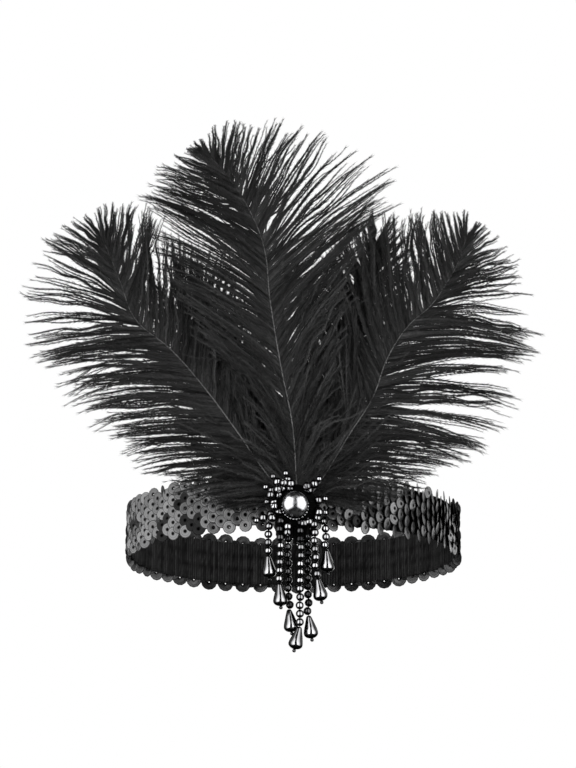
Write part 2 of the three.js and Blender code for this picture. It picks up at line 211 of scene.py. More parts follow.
# Every second upright line sinks in as a groove, the rows of stitches pull in, and the edges gather up
threads = corners_of(elastic)
turn = np.arctan2(threads[:, 1] / elastic_half_depth, threads[:, 0] / elastic_half_width)
line = np.round(turn / math.tau * 2 * rib_count).astype(int) % (2 * rib_count)
row = np.round((threads[:, 2] / elastic_height + 0.5) * rib_rows).astype(int)
groove = line % 2 * chance.uniform(0.5, 1.2, 2 * rib_count)[line]
lit = chance.uniform(0.3, 1, 2 * rib_count)[line]
# Painted shade: the inside of the back, behind the brooch and its strings, is darkened in the tint.
shaded = np.exp(-(((threads[:, 0] - shade_across) / shade_half_width) ** 4)) * (threads[:, 1] > 0)
lit *= 1 - shade_strength * shaded
stitched = np.isin(row, stitch_rows)
waver = np.cumsum(chance.normal(0, 0.12, (2 * rib_count, rib_rows + 1)), axis=1)[line, row]
sunk = (groove + 0.25 * stitched) * rib_depth
turn += (waver + 0.5 * (1 - line % 2)) * math.tau / (2 * rib_count) * 0.35
threads[:, 0] = (elastic_half_width - sunk) * np.cos(turn)
threads[:, 1] = (elastic_half_depth - sunk) * np.sin(turn)
at_edge = abs(row - rib_rows / 2) > rib_rows / 2 - 1
threads[:, 2] += at_edge * (0.3 - groove * 0.6) * mm * np.sign(threads[:, 2])
move_corners(elastic, threads)
# Painted shade: the grooves are darker in colour as well as sunk. The stitch rows are darker too, and each
# rib's brightness differs at random.
rib_tones_and_shade = lit - groove * 0.9 - 0.3 * stitched + chance.normal(0, 0.2, len(groove))
give_values(elastic, "tint", np.clip(rib_tones_and_shade, 0, 1))
bpy.ops.object.shade_smooth()
wall = elastic.modifiers.new("wall", "SOLIDIFY")
wall.thickness = elastic_wall - rib_depth
wall.offset = -1
apply_modifiers(elastic)


def new_group(name, inputs, outputs):
    """A shader node group with its sockets, its input node and its output node."""
    group = bpy.data.node_groups.new(name, "ShaderNodeTree")
    for socket, kind, value in inputs:
        group.interface.new_socket(socket, in_out="INPUT", socket_type=kind).default_value = value
    for socket, kind in outputs:
        group.interface.new_socket(socket, in_out="OUTPUT", socket_type=kind)
    return group, group.nodes.new("NodeGroupInput"), group.nodes.new("NodeGroupOutput")


# Yarn: fine threads along one direction with fuzz between them, for anything knitted, felted or feathered
yarn, yarn_in, yarn_out = new_group(
    "yarn",
    [
        ("Vector", "NodeSocketVector", (0, 0, 0)),
        ("Scale", "NodeSocketFloat", 900.0),
        ("Dark", "NodeSocketColor", (0.01, 0.01, 0.01, 1)),
        ("Light", "NodeSocketColor", (0.04, 0.04, 0.04, 1)),
    ],
    [("Color", "NodeSocketColor"), ("Height", "NodeSocketFloat")],
)
yarn_noise = yarn.nodes.new("ShaderNodeTexNoise")
yarn_noise.inputs["Detail"].default_value = 3
yarn_mix = yarn.nodes.new("ShaderNodeMix")
yarn_mix.data_type = "RGBA"
yarn.links.new(yarn_in.outputs["Vector"], yarn_noise.inputs["Vector"])
yarn.links.new(yarn_in.outputs["Scale"], yarn_noise.inputs["Scale"])
yarn.links.new(yarn_noise.outputs["Fac"], yarn_mix.inputs["Factor"])
yarn.links.new(yarn_in.outputs["Dark"], yarn_mix.inputs[6])
yarn.links.new(yarn_in.outputs["Light"], yarn_mix.inputs[7])
yarn.links.new(yarn_mix.outputs[2], yarn_out.inputs["Color"])
yarn.links.new(yarn_noise.outputs["Fac"], yarn_out.inputs["Height"])


def new_material(name, roughness, specular=0.5, metallic=0.0):
    """A node material with its Principled shader's plain values set."""
    material = bpy.data.materials.new(name)
    material.use_nodes = True
    shader = material.node_tree.nodes["Principled BSDF"]
    shader.inputs["Roughness"].default_value = roughness
    shader.inputs["Specular IOR Level"].default_value = specular
    shader.inputs["Metallic"].default_value = metallic
    return material, material.node_tree.nodes, material.node_tree.links, shader


def add_yarn(nodes, links, shader, stretch, scale, dark, light, bump):
    """Adds the yarn effect on Object coordinates, stretched along the piece's threads."""
    place = nodes.new("ShaderNodeTexCoord")
    mapping = nodes.new("ShaderNodeMapping")
    mapping.inputs["Scale"].default_value = stretch
    threads = nodes.new("ShaderNodeGroup")
    threads.node_tree = yarn
    threads.inputs["Scale"].default_value = scale
    threads.inputs["Dark"].default_value = (*dark, 1)
    threads.inputs["Light"].default_value = (*light, 1)
    relief = nodes.new("ShaderNodeBump")
    relief.inputs["Strength"].default_value = bump
    relief.inputs["Distance"].default_value = 0.1 * mm
    links.new(place.outputs["Object"], mapping.inputs["Vector"])
    links.new(mapping.outputs["Vector"], threads.inputs["Vector"])
    links.new(threads.outputs["Color"], shader.inputs["Base Color"])
    links.new(threads.outputs["Height"], relief.inputs["Height"])
    links.new(relief.outputs["Normal"], shader.inputs["Normal"])
    return threads


def darken_by_tint(nodes, links, shader, threads, dark):
    """Darkens the yarn where the piece's own tint is low."""
    tint = nodes.new("ShaderNodeAttribute")
    tint.attribute_name = "tint"
    tone = nodes.new("ShaderNodeMix")
    tone.data_type = "RGBA"
    tone.inputs[6].default_value = (dark, dark, dark, 1)
    links.new(tint.outputs["Fac"], tone.inputs["Factor"])
    links.new(threads.outputs["Color"], tone.inputs[7])
    links.new(tone.outputs[2], shader.inputs["Base Color"])


elastic_knit, nodes, links, shader = new_material("elastic_knit", 0.8, 0.05)
threads = add_yarn(nodes, links, shader, (1, 1, 2), 1500, (0.003, 0.003, 0.003), (0.037, 0.037, 0.037), 0.8)
darken_by_tint(nodes, links, shader, threads, 0.001)
finish_piece(elastic, "ribbed_elastic", elastic_knit, "elastic", "elastic_band")

# The sequins: foil discs with a cupped middle and a hole, sewn on in upright columns half a step apart. Each
# one's edge lies over its neighbour, and the outer ones stand past the elastic as scallops.
sequin_radius = 3.4 * mm
sequin_thickness = 0.18 * mm
sequin_hole = 0.38 * mm
sequin_flat = 1.05 * mm
sequin_crown = 0.4 * mm
sequin_dish = 0.5 * mm
column_pitch = 4.2 * mm
back_crowding = 0.84
back_size = 1.26
outer_row = 11.3 * mm
rows_in_full_column = 5
sequin_lift = 1.35 * mm
sequin_turn = math.radians(22)
sequin_sides = 12
turn_jitter = math.radians(6)
flipped_share = 0.05
flipped_turn = math.radians(-34)
dark_share = 0.1
dark_tint = 0.05
back_tint = 0.4


def ring_test(low, high):
    """Tests whether a vertex lies between two radii."""
    return lambda vertex: low <= math.hypot(vertex.co.x, vertex.co.y) <= high


deselect()
bpy.ops.mesh.primitive_cylinder_add(vertices=sequin_sides, radius=sequin_radius, depth=sequin_thickness)
sequin = bpy.context.object
pick_faces(sequin, lambda face: abs(face.normal.z) > 0.9)
bpy.ops.mesh.inset(thickness=sequin_radius - sequin_flat, use_individual=True)
bpy.ops.mesh.inset(thickness=sequin_flat - sequin_hole, use_individual=True)
bpy.ops.mesh.bridge_edge_loops()
pick_vertices(sequin, ring_test(0, sequin_flat * 1.05))
bpy.ops.transform.translate(value=(0, 0, sequin_crown))
pick_vertices(sequin, ring_test(0, sequin_hole * 1.05))
bpy.ops.transform.translate(value=(0, 0, -sequin_dish))
bpy.ops.object.mode_set(mode="OBJECT")
bpy.ops.object.shade_smooth_by_angle(angle=math.radians(50))


def copy_in_line(piece, count):
    """Turns a piece into count copies of itself, whose vertices follow each other in the mesh."""
    array = piece.modifiers.new("copies", "ARRAY")
    array.count = count
    array.use_relative_offset = False
    apply_modifiers(piece)


turns = np.linspace(0, math.tau, 4000)
outline = np.stack([elastic_half_width * np.sin(turns), -elastic_half_depth * np.cos(turns)], axis=1)
crowding = np.where(np.cos(turns[1:]) < 0, back_crowding, 1)
steps = np.linalg.norm(np.diff(outline, axis=0), axis=1) * crowding
way_along = np.concatenate([[0], np.cumsum(steps)])
column_count = 2 * round(way_along[-1] / column_pitch / 2)

sequin_places = []
for column in range(column_count):
    turn = np.interp((column + 0.5) / column_count * way_along[-1], way_along, turns)
    behind = 0.5 + 0.5 * math.tanh((math.sin(turn - math.radians(90)) + 0.1) * 10)
    on_loop = Vector((elastic_half_width * math.sin(turn), -elastic_half_depth * math.cos(turn), 0))
    out = Vector((math.sin(turn) / elastic_half_width, -math.cos(turn) / elastic_half_depth, 0)).normalized()
    rows = rows_in_full_column - column % 2
    step = 2 * outer_row / (rows_in_full_column - 1)
    for row in range(rows):
        height = (row - (rows - 1) / 2) * step
        flipped = chance.random() < flipped_share
        left_side = max(0, min(1, (math.sin(-turn) + 0.1) / 0.2))
        turned = sequin_turn * (1 - 1.9 * behind * left_side)
        turned *= 1 - left_side * (1 - behind) * (1 - 1.15 * abs(math.sin(turn)))
        turned += chance.normal(0, turn_jitter)
        turned += flipped_turn * (1 - behind) if flipped else 0
        tipped = chance.normal(0, turn_jitter)
        spun = chance.uniform(0, math.tau)
        facing = Matrix.Rotation(turned, 3, "Z") @ out
        up = Vector((0, 0, 1))
        across = up.cross(facing)
        basis = Matrix((across, up, facing)).transposed()
        basis = basis @ Matrix.Rotation(tipped, 3, "X") @ Matrix.Rotation(spun, 3, "Z")
        place = on_loop + out * sequin_lift + up * (height + chance.normal(0, 0.25 * mm))
        sequin_places.append((np.array(basis) * (1 + (back_size - 1) * behind), np.array(place)))

one_sequin = corners_of(sequin)
shown_side = np.array([vertex.normal.z > 0 for vertex in sequin.data.vertices])
from_middle = np.hypot(one_sequin[:, 0], one_sequin[:, 1]) / sequin_radius
copy_in_line(sequin, len(sequin_places))
move_corners(sequin, np.stack([one_sequin @ basis.T + place for basis, place in sequin_places]))
# Painted light: each disc's random brightness stands in for how much light it catches. One in ten is dark,
# and the backs share one tone.
is_dark = chance.random(len(sequin_places)) < dark_share
tints = np.where(is_dark, dark_tint, chance.uniform(0.5, 1, len(sequin_places)))
give_values(sequin, "tint", (np.outer(tints, shown_side) + back_tint * ~shown_side).ravel())
give_values(sequin, "from_middle", np.tile(from_middle, len(sequin_places)))

# Smudges: soft patches where fingers and glue have dulled a shine, for everything that is glossy
smudges, smudges_in, smudges_out = new_group(
    "smudges",
    [
        ("Vector", "NodeSocketVector", (0, 0, 0)),
        ("Shiny", "NodeSocketFloat", 0.1),
        ("Dull", "NodeSocketFloat", 0.3),
    ],
    [("Roughness", "NodeSocketFloat"), ("Patches", "NodeSocketFloat")],
)
smudge_noise = smudges.nodes.new("ShaderNodeTexNoise")
smudge_noise.inputs["Scale"].default_value = 420
smudge_noise.inputs["Detail"].default_value = 2
smudge_range = smudges.nodes.new("ShaderNodeMapRange")
smudge_range.inputs["From Min"].default_value = 0.35
smudge_range.inputs["From Max"].default_value = 0.7
smudges.links.new(smudges_in.outputs["Vector"], smudge_noise.inputs["Vector"])
smudges.links.new(smudge_noise.outputs["Fac"], smudge_range.inputs["Value"])
smudges.links.new(smudges_in.outputs["Shiny"], smudge_range.inputs["To Min"])
smudges.links.new(smudges_in.outputs["Dull"], smudge_range.inputs["To Max"])
smudges.links.new(smudge_range.outputs["Result"], smudges_out.inputs["Roughness"])
smudges.links.new(smudge_noise.outputs["Fac"], smudges_out.inputs["Patches"])


def add_smudges(nodes, links, shader, shiny, dull):
    place = nodes.new("ShaderNodeTexCoord")
    patches = nodes.new("ShaderNodeGroup")
    patches.node_tree = smudges
    patches.inputs["Shiny"].default_value = shiny
    patches.inputs["Dull"].default_value = dull
    links.new(place.outputs["Object"], patches.inputs["Vector"])
    links.new(patches.outputs["Roughness"], shader.inputs["Roughness"])
    return patches


def add_tint(nodes, links, socket, dark, light):
    """Colours each copy between two tones by its own tint."""
    tint = nodes.new("ShaderNodeAttribute")
    tint.attribute_name = "tint"
    tones = nodes.new("ShaderNodeMix")
    tones.data_type = "RGBA"
    tones.inputs[6].default_value = (*dark, 1)
    tones.inputs[7].default_value = (*light, 1)
    links.new(tint.outputs["Fac"], tones.inputs["Factor"])
    links.new(tones.outputs[2], socket)
    return tones


sequin_foil, nodes, links, shader = new_material("sequin_foil", 0.3, 0.1, 0.8)
add_smudges(nodes, links, shader, 0.28, 0.42)
tones = add_tint(nodes, links, shader.inputs["Base Color"], (0.003, 0.003, 0.003), (0.118, 0.118, 0.119))
pressed = nodes.new("ShaderNodeAttribute")
pressed.attribute_name = "from_middle"
# The rings set a relief and also paint shade: dark in the cupped middle, along a groove ring, and at the
# outer edge where the discs overlap.
rings = nodes.new("ShaderNodeValToRGB")
rings.color_ramp.elements[0].position = 0.22
rings.color_ramp.elements[0].color = (0.02, 0.02, 0.02, 1)
rings.color_ramp.elements[1].position = 0.31
rings.color_ramp.elements[1].color = (0.8, 0.8, 0.8, 1)
for position, tone in ((0.6, 1), (0.66, 0.4), (0.72, 1), (0.86, 1), (0.93, 0.15)):
    rings.color_ramp.elements.new(position).color = (tone, tone, tone, 1)
painted_ring_shade = nodes.new("ShaderNodeMix")
painted_ring_shade.data_type = "RGBA"
painted_ring_shade.blend_type = "MULTIPLY"
painted_ring_shade.inputs["Factor"].default_value = 1
ring_relief = nodes.new("ShaderNodeBump")
ring_relief.inputs["Strength"].default_value = 0.5
ring_relief.inputs["Distance"].default_value = 0.1 * mm
links.new(pressed.outputs["Fac"], rings.inputs["Fac"])
links.new(tones.outputs[2], painted_ring_shade.inputs[6])
links.new(rings.outputs["Color"], painted_ring_shade.inputs[7])
links.new(painted_ring_shade.outputs[2], shader.inputs["Base Color"])
links.new(rings.outputs["Color"], ring_relief.inputs["Height"])
links.new(ring_relief.outputs["Normal"], shader.inputs["Normal"])
finish_piece(sequin, "cupped_sequins", sequin_foil, "sequin", "sequin_cover")

# The plumes: each is a bare quill with soft barbs down both sides, and every barb is fringed with barbules.
# The barbs cling together in locks that part towards their tips. Three plumes stand in front and two behind.
plume_height = 184.9 * mm
barb_reach = 66 * mm
quill_seat = 1.05 * mm
quill_radius = 0.45 * mm
quill_tip_radius = 0.12 * mm
quill_foot = 4 * mm
barb_width = 1.15 * mm
barb_steps = 14
barb_pitch = 0.47 * mm
crowding_at_base = 1.3
barbules_each = 80
barbule_length = 1.45 * mm
barbule_width_share = 0.011
downy_barbs = 90
path_steps = 22
barb_waver = 0.35 * mm
lock_waver = 0.5 * mm
most_in_lock = 6
stray_share = 0.07
lock_depth = 2.6 * mm
barb_depth = 0.8 * mm
barb_spread = 0.55 * mm
ribbon_shade = 0.45

# One barb, modelled straight along +X with a length of 1: a ribbon that narrows to its tip
deselect()
bpy.ops.mesh.primitive_grid_add(x_subdivisions=barb_steps, y_subdivisions=1, size=1)
barb = bpy.context.object
bpy.ops.object.mode_set(mode="EDIT")
bpy.ops.transform.resize(value=(1, barb_width, 1))
bpy.ops.transform.translate(value=(0.5, 0, 0))
bpy.ops.object.mode_set(mode="OBJECT")
ribbon = corners_of(barb)
ribbon[:, 1] *= np.interp(ribbon[:, 0], [0, 0.25, 0.5, 0.8, 1], [1, 0.92, 0.62, 0.42, 0.1])
move_corners(barb, ribbon)

# Its barbules: slivers that lean towards the tip, all round the barb and shorter near its end
deselect()
bpy.ops.mesh.primitive_circle_add(vertices=3, radius=barbule_length, fill_type="NGON")
barbule = bpy.context.object
copy_in_line(barbule, 2 * barbules_each)
root_share = np.tile(np.linspace(0.01, 0.985, barbules_each), 2)
root_share += chance.normal(0, 0.004, 2 * barbules_each)
round_barb = np.repeat([0, math.pi], barbules_each) + chance.normal(0, 0.7, 2 * barbules_each)
sliver_length = barbule_length * (1.05 - 0.55 * root_share**2)
sliver_length *= chance.uniform(0.45, 1.2, 2 * barbules_each)
lean_share = chance.uniform(0.03, 0.08, 2 * barbules_each)
slivers = np.zeros((2 * barbules_each, 3, 3))
slivers[:, 0, 0] = root_share
slivers[:, 1, 0] = root_share + barbule_width_share
slivers[:, 2, 0] = np.minimum(root_share + lean_share, 1.03)
slivers[:, 2, 1] = np.cos(round_barb) * sliver_length
slivers[:, 2, 2] = np.sin(round_barb) * sliver_length
move_corners(barbule, slivers)
barb.select_set(True)
bpy.context.view_layer.objects.active = barb
bpy.ops.object.join()
one_barb = corners_of(barb)


def smooth_line(points, count):
    """A smooth curve through the points, as count places at equal steps along it."""
    bpy.ops.curve.primitive_nurbs_path_add()
    line = bpy.context.object
    line.data.splines.clear()
    spline = line.data.splines.new("BEZIER")
    spline.bezier_points.add(len(points) - 1)
    spline.resolution_u = 24
    for knot, point in zip(spline.bezier_points, points):
        knot.co = point
        knot.handle_left_type = knot.handle_right_type = "AUTO"
    bpy.ops.object.convert(target="MESH")
    line = bpy.context.object
    places = corners_of(line)
    bpy.data.objects.remove(line)
    way = np.concatenate([[0], np.cumsum(np.linalg.norm(np.diff(places, axis=0), axis=1))])
    equal = np.linspace(0, way[-1], count)
    return np.stack([np.interp(equal, way, places[:, axis]) for axis in range(3)], axis=1), way[-1]


def unit(vectors):
    return vectors / np.linalg.norm(vectors, axis=-1, keepdims=True)


def directions_at(spine, shares):
    """The quill's place, and the plume's directions there: along it, out of its face and to its right."""
    at = np.linspace(0, 1, len(spine))
    place = np.stack([np.interp(shares, at, spine[:, axis]) for axis in range(3)], axis=1)
    tangents = unit(np.gradient(spine, axis=0))
    along = unit(np.stack([np.interp(shares, at, tangents[:, axis]) for axis in range(3)], axis=1))
    front = np.array([0.0, -1.0, 0.0]) - along * -along[:, 1:2]
    front = unit(front)
    return place, along, front, np.cross(along, front)


def bend_barbs(spine, shares, angle, droop, reach, side, depth, lock):
    """Paths that leave the quill at an angle, droop, and waver: one row of places for each barb."""
    count = len(shares)
    place, along, front, right = directions_at(spine, shares)
    out = np.linspace(0, 1, path_steps)
    heading = angle[:, None] + droop[:, None] * out / 2
    run = reach[:, None] * out
    waver = chance.normal(0, barb_waver, (count, 1)) * np.sin(out * chance.uniform(8, 26, (count, 1)))
    of_lock = chance.normal(0, lock_waver, (count, 1)) * np.sin(out * chance.uniform(6, 20, (count, 1)))
    waver += of_lock[lock]
    waver *= np.minimum(reach[:, None] / (0.6 * barb_reach), 1)
    waver += reach[:, None] * chance.normal(0, 0.024, (count, 1)) * out**3
    return (
        place[:, None]
        + along[:, None] * (run * np.cos(heading) - waver * np.sin(heading))[..., None]
        + side * right[:, None] * (run * np.sin(heading) + waver * np.cos(heading))[..., None]
        + front[:, None] * (depth[:, None] * out**1.5)[..., None]
    ), np.repeat(front[:, None], path_steps, axis=1)


def vane_barbs(spine, length, rows, side, loose):
    """The barbs on one side of a plume, which cling together in pointed locks, but for a few that stray."""
    table = np.array(rows).T
    count = int((table[0, -1] - table[0, 0]) * length / barb_pitch)
    spread = np.linspace(0, 1, count) ** crowding_at_base
    shares = table[0, 0] + (table[0, -1] - table[0, 0]) * spread
    shares = np.clip(shares + chance.normal(0, 0.001, count), 0, 0.995)
    lock_sizes = chance.integers(1, most_in_lock + 1, count)
    lock = np.repeat(np.arange(count), lock_sizes)[:count]
    head_at = np.repeat(lock_sizes // 2, lock_sizes)[:count]
    in_lock = np.concatenate([np.arange(size) for size in lock_sizes])[:count] - head_at
    stray = chance.random(count) < stray_share
    angle, reach, droop = (np.interp(shares, table[0], table[i]) for i in (1, 2, 3))
    angle += chance.normal(0, 0.7, count)[lock]
    angle = np.radians(angle + chance.normal(0, 0.8 + 4 * stray, count))
    droop += chance.normal(0, 1.7, count)[lock]
    droop = np.radians(droop + chance.normal(0, 2 + 8 * stray, count))
    reach = reach * barb_reach * (1 + chance.normal(0, 0.055, count)[lock])
    reach *= 1 - 0.05 * abs(in_lock) * chance.uniform(0.3, 1.6, count)
    depth = loose * mm + chance.normal(0, lock_depth, count)[lock] + chance.normal(0, barb_depth, count)
    paths, fronts = bend_barbs(spine, shares, angle, droop, reach, side, depth, lock)
    leader = np.minimum(np.searchsorted(lock, lock) + head_at, count - 1)
    out = np.linspace(0, 1, path_steps)
    closing, pointing = (np.clip((out - start) / way, 0, 1) for start, way in ((0.3, 0.5), (0.75, 0.25)))
    closing, pointing = (value**2 * (3 - 2 * value) for value in (closing, pointing))
    pull = (chance.uniform(0.1, 0.6, count)[lock] * ~stray)[:, None]
    pull = pull * closing + np.maximum(0.7 - pull, 0) * pointing * ~stray[:, None]
    share_of_leader = reach / reach[leader]
    led = np.stack([
        np.stack([np.interp(out * share, out, paths[head][:, axis]) for axis in range(3)], axis=1)
        for head, share in zip(leader, np.minimum(share_of_leader, 1))
    ])
    apart = chance.normal(0, barb_spread, (count, 1, 3)) * (out**1.2)[None, :, None]
    paths = paths + (led + apart - paths) * pull[..., None]
    return paths, fronts


def down_barbs(spine, loose, down_to):
    """Short soft barbs at the foot of the quill, which fan out to both sides and fill the space there."""
    shares = chance.uniform(0.02, down_to, downy_barbs)
    angle = np.radians(chance.uniform(4, 62, downy_barbs))
    droop = np.radians(chance.normal(8, 12, downy_barbs))
    reach = barb_reach * chance.uniform(0.35, 0.68, downy_barbs)
    depth = loose * mm + chance.normal(-0.5 * mm, 2.2 * mm, downy_barbs)
    side = chance.choice([-1, 1], (downy_barbs, 1, 1))
    return bend_barbs(spine, shares, angle, droop, reach, side, depth, np.arange(downy_barbs))


def lay_barbs(piece, paths, fronts):
    """Lays copies of the straight barb along the paths."""
    steps = np.clip(one_barb[:, 0], 0, 1) * (path_steps - 1)
    low = np.minimum(steps.astype(int), path_steps - 2)
    weight = (one_barb[:, 0] * (path_steps - 1) - low)[None, :, None]
    along = unit(np.gradient(paths, axis=1))
    twist = chance.uniform(-0.9, 0.9, (len(paths), 1, 1))
    across = unit(np.cross(fronts, along))
    across, fronts = (
        across * np.cos(twist) + fronts * np.sin(twist),
        fronts * np.cos(twist) - across * np.sin(twist),
    )

    def between(values):
        return values[:, low] * (1 - weight) + values[:, low + 1] * weight

    places = (
        between(paths)
        + between(across) * one_barb[None, :, 1:2]
        + between(fronts) * one_barb[None, :, 2:3]
    )
    copy_in_line(piece, len(paths))
    move_corners(piece, places)
    in_ribbon = np.arange(len(one_barb)) < len(ribbon)
    tints = np.outer(chance.random(len(paths)) ** 1.6, np.where(in_ribbon, ribbon_shade, 1))
    give_values(piece, "tint", tints.ravel())


def quill_rod(spine):
    """The quill: a rod bent along the spine that tapers to its tip."""
    deselect()
    bpy.ops.mesh.primitive_cylinder_add(vertices=8, radius=1, depth=1)
    rod = bpy.context.object
    bpy.ops.object.mode_set(mode="EDIT")
    bpy.ops.mesh.select_mode(type="EDGE")
    bpy.ops.mesh.select_all(action="DESELECT")
    bpy.ops.object.mode_set(mode="OBJECT")
    for edge in rod.data.edges:
        low, high = (rod.data.vertices[i].co.z for i in edge.vertices)
        edge.select = abs(low - high) > 0.5
    bpy.ops.object.mode_set(mode="EDIT")
    bpy.ops.mesh.subdivide(number_cuts=40)
    bpy.ops.object.mode_set(mode="OBJECT")
    corners = corners_of(rod)
    share = np.clip(corners[:, 2] + 0.5, 0, 1)
    place, along, front, right = directions_at(spine, share)
    radius = (quill_radius + (quill_tip_radius - quill_radius) * share)[:, None]
    move_corners(rod, place + right * corners[:, 0:1] * radius + front * corners[:, 1:2] * radius)
    give_values(rod, "tint", 1 - 0.75 * share)
    bpy.ops.object.shade_smooth()
    return rod


barb_down, nodes, links, shader = new_material("barb_down", 0.6, 0.18)
threads = add_yarn(nodes, links, shader, (1, 1, 1), 1100, (0.005, 0.005, 0.005), (0.056, 0.056, 0.056), 0.3)
darken_by_tint(nodes, links, shader, threads, 0.002)

quill_horn, nodes, links, shader = new_material("quill_horn", 0.4, 0.5)
threads = add_yarn(nodes, links, shader, (1, 1, 0.08), 900, (0.03, 0.03, 0.03), (0.09, 0.09, 0.09), 0.2)
darken_by_tint(nodes, links, shader, threads, 0.008)

# Depths of the three layers of plumes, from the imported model
sequin_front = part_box("sequin_cover")[0].y
plume_step = 2.3 * mm
back_depth = sequin_front - 0.3 * mm - quill_seat
side_depth = back_depth - plume_step
centre_depth = side_depth - plume_step

# Spine rows are across, lean and up, as shares of the plume's height. Vane rows are the share of the spine,
# the angle from it in degrees, the reach as a share of barb_reach, and the droop in degrees.
plumes = {
    "back_plume_left": {
        "height": 0.573,
        "foot": (-0.86 * quill_seat, back_depth),
        "spine": [(0, 0, 0), (-0.082, 0, 0.19), (-0.182, 0.03, 0.38), (-0.312, 0.1, 0.62)]
        + [(-0.442, 0.16, 0.84), (-0.542, 0.19, 1)],
        "left": [(0.13, 24, 0.3, 4), (0.2, 30, 0.46, 8), (0.5, 32, 0.6, 12), (0.8, 20, 0.56, 6)]
        + [(0.96, 4, 0.5, 0)],
        "right": [(0.13, 24, 0.34, 0), (0.2, 26, 0.54, 0), (0.5, 40, 0.84, -6), (0.75, 42, 0.84, -6)]
        + [(0.9, 32, 0.76, 0), (0.97, 20, 0.62, 0)],
        "loose": -2,
    },
    "back_plume_right": {
        "height": 0.79,
        "foot": (1.52 * quill_seat, back_depth),
        "spine": [(0, 0, 0), (0.039, 0, 0.14), (0.104, 0.04, 0.36), (0.184, 0.11, 0.62)]
        + [(0.244, 0.155, 0.83), (0.284, 0.17, 1)],
        "left": [(0.1, 26, 0.34, 4), (0.2, 28, 0.58, 6), (0.5, 36, 0.68, 10), (0.78, 32, 0.54, 8)]
        + [(0.96, 14, 0.28, 2)],
        "right": [(0.1, 24, 0.34, 4), (0.2, 26, 0.6, 4), (0.5, 30, 0.7, 6), (0.78, 28, 0.54, 6)]
        + [(0.96, 14, 0.28, 2)],
        "loose": -2,
    },
    "plume_left": {
        "height": 0.76,
        "foot": (0.95 * quill_seat, side_depth),
        "spine": [(0, 0, 0), (-0.088, 0, 0.102), (-0.209, 0.011, 0.279), (-0.332, 0.04, 0.451)]
        + [(-0.438, 0.062, 0.577), (-0.565, 0.076, 0.692), (-0.616, 0.08, 0.82), (-0.656, 0.064, 0.919)]
        + [(-0.693, 0.036, 1)],
        "left": [(0.03, 54, 0.42, 10), (0.1, 51, 0.66, 12), (0.18, 49, 0.86, 17), (0.3, 45, 0.93, 21)]
        + [(0.45, 40, 0.96, 24), (0.58, 36, 0.95, 24), (0.73, 33, 0.82, 24), (0.84, 28, 0.62, 20)]
        + [(0.93, 20, 0.36, 12), (0.98, 8, 0.2, 4)],
        "right": [(0.1, 24, 0.42, 0), (0.25, 34, 0.74, -6), (0.45, 43, 0.88, -8), (0.58, 49, 0.9, -8)]
        + [(0.66, 54, 0.88, -8), (0.75, 42, 0.76, -8), (0.84, 36, 0.6, -8), (0.93, 28, 0.38, -4)]
        + [(0.98, 12, 0.22, 0)],
        "loose": 0,
    },
    "plume_right": {
        "height": 0.76,
        "foot": (3.33 * quill_seat, side_depth),
        "spine": [(0, 0, 0), (0.076, 0, 0.102), (0.166, 0.011, 0.254), (0.25, 0.036, 0.393)]
        + [(0.307, 0.058, 0.547), (0.382, 0.074, 0.667), (0.463, 0.08, 0.743), (0.513, 0.078, 0.816)]
        + [(0.554, 0.064, 0.886)]
        + [(0.594, 0.036, 1)],
        "left": [(0.1, 26, 0.42, 4), (0.25, 42, 0.8, -8), (0.39, 46, 0.92, -14), (0.53, 44, 0.94, -16)]
        + [(0.61, 48, 0.9, -16), (0.7, 60, 0.82, -14), (0.78, 52, 0.66, -12), (0.85, 50, 0.54, -12)]
        + [(0.92, 40, 0.34, -6), (0.98, 14, 0.2, 0)],
        "right": [(0.03, 62, 0.4, 8), (0.1, 58, 0.64, 10), (0.18, 56, 0.84, 16), (0.25, 54, 0.95, 21)]
        + [(0.39, 53, 1.02, 26)]
        + [(0.53, 50, 1.02, 30), (0.65, 42, 0.94, 28), (0.75, 32, 0.7, 20), (0.84, 32, 0.5, 16)]
        + [(0.9, 28, 0.34, 12), (0.98, 12, 0.16, 0)],
        "loose": 0,
    },
    "plume_center": {
        "height": 1,
        "foot": (1.71 * quill_seat, centre_depth),
        "spine": [(0, 0, 0), (-0.003, 0, 0.091), (-0.013, 0.001, 0.223), (-0.039, 0.008, 0.359)]
        + [(-0.072, 0.02, 0.567), (-0.088, 0.022, 0.71), (-0.129, 0.012, 0.815), (-0.19, -0.01, 0.905)]
        + [(-0.228, -0.026, 0.944), (-0.26, -0.044, 0.962)],
        "left": [(0.06, 24, 0.3, 4), (0.14, 26, 0.6, 8), (0.25, 32, 0.8, 14), (0.4, 38, 0.94, 18)]
        + [(0.54, 42, 1.04, 22), (0.67, 42, 0.99, 20), (0.78, 34, 0.76, 16), (0.9, 24, 0.38, 10)]
        + [(0.96, 12, 0.18, 4), (0.99, 2, 0.08, 0)],
        "right": [(0.06, 24, 0.34, 4), (0.14, 22, 0.68, 10), (0.25, 30, 0.84, 16), (0.4, 38, 0.95, 18)]
        + [(0.54, 47, 1.18, 18), (0.64, 47, 1.12, 16), (0.7, 43, 0.96, 14), (0.78, 44, 0.74, 12)]
        + [(0.9, 44, 0.4, 8), (0.96, 38, 0.2, 4), (0.99, 14, 0.1, 0)],
        "loose": 1,
    },
}

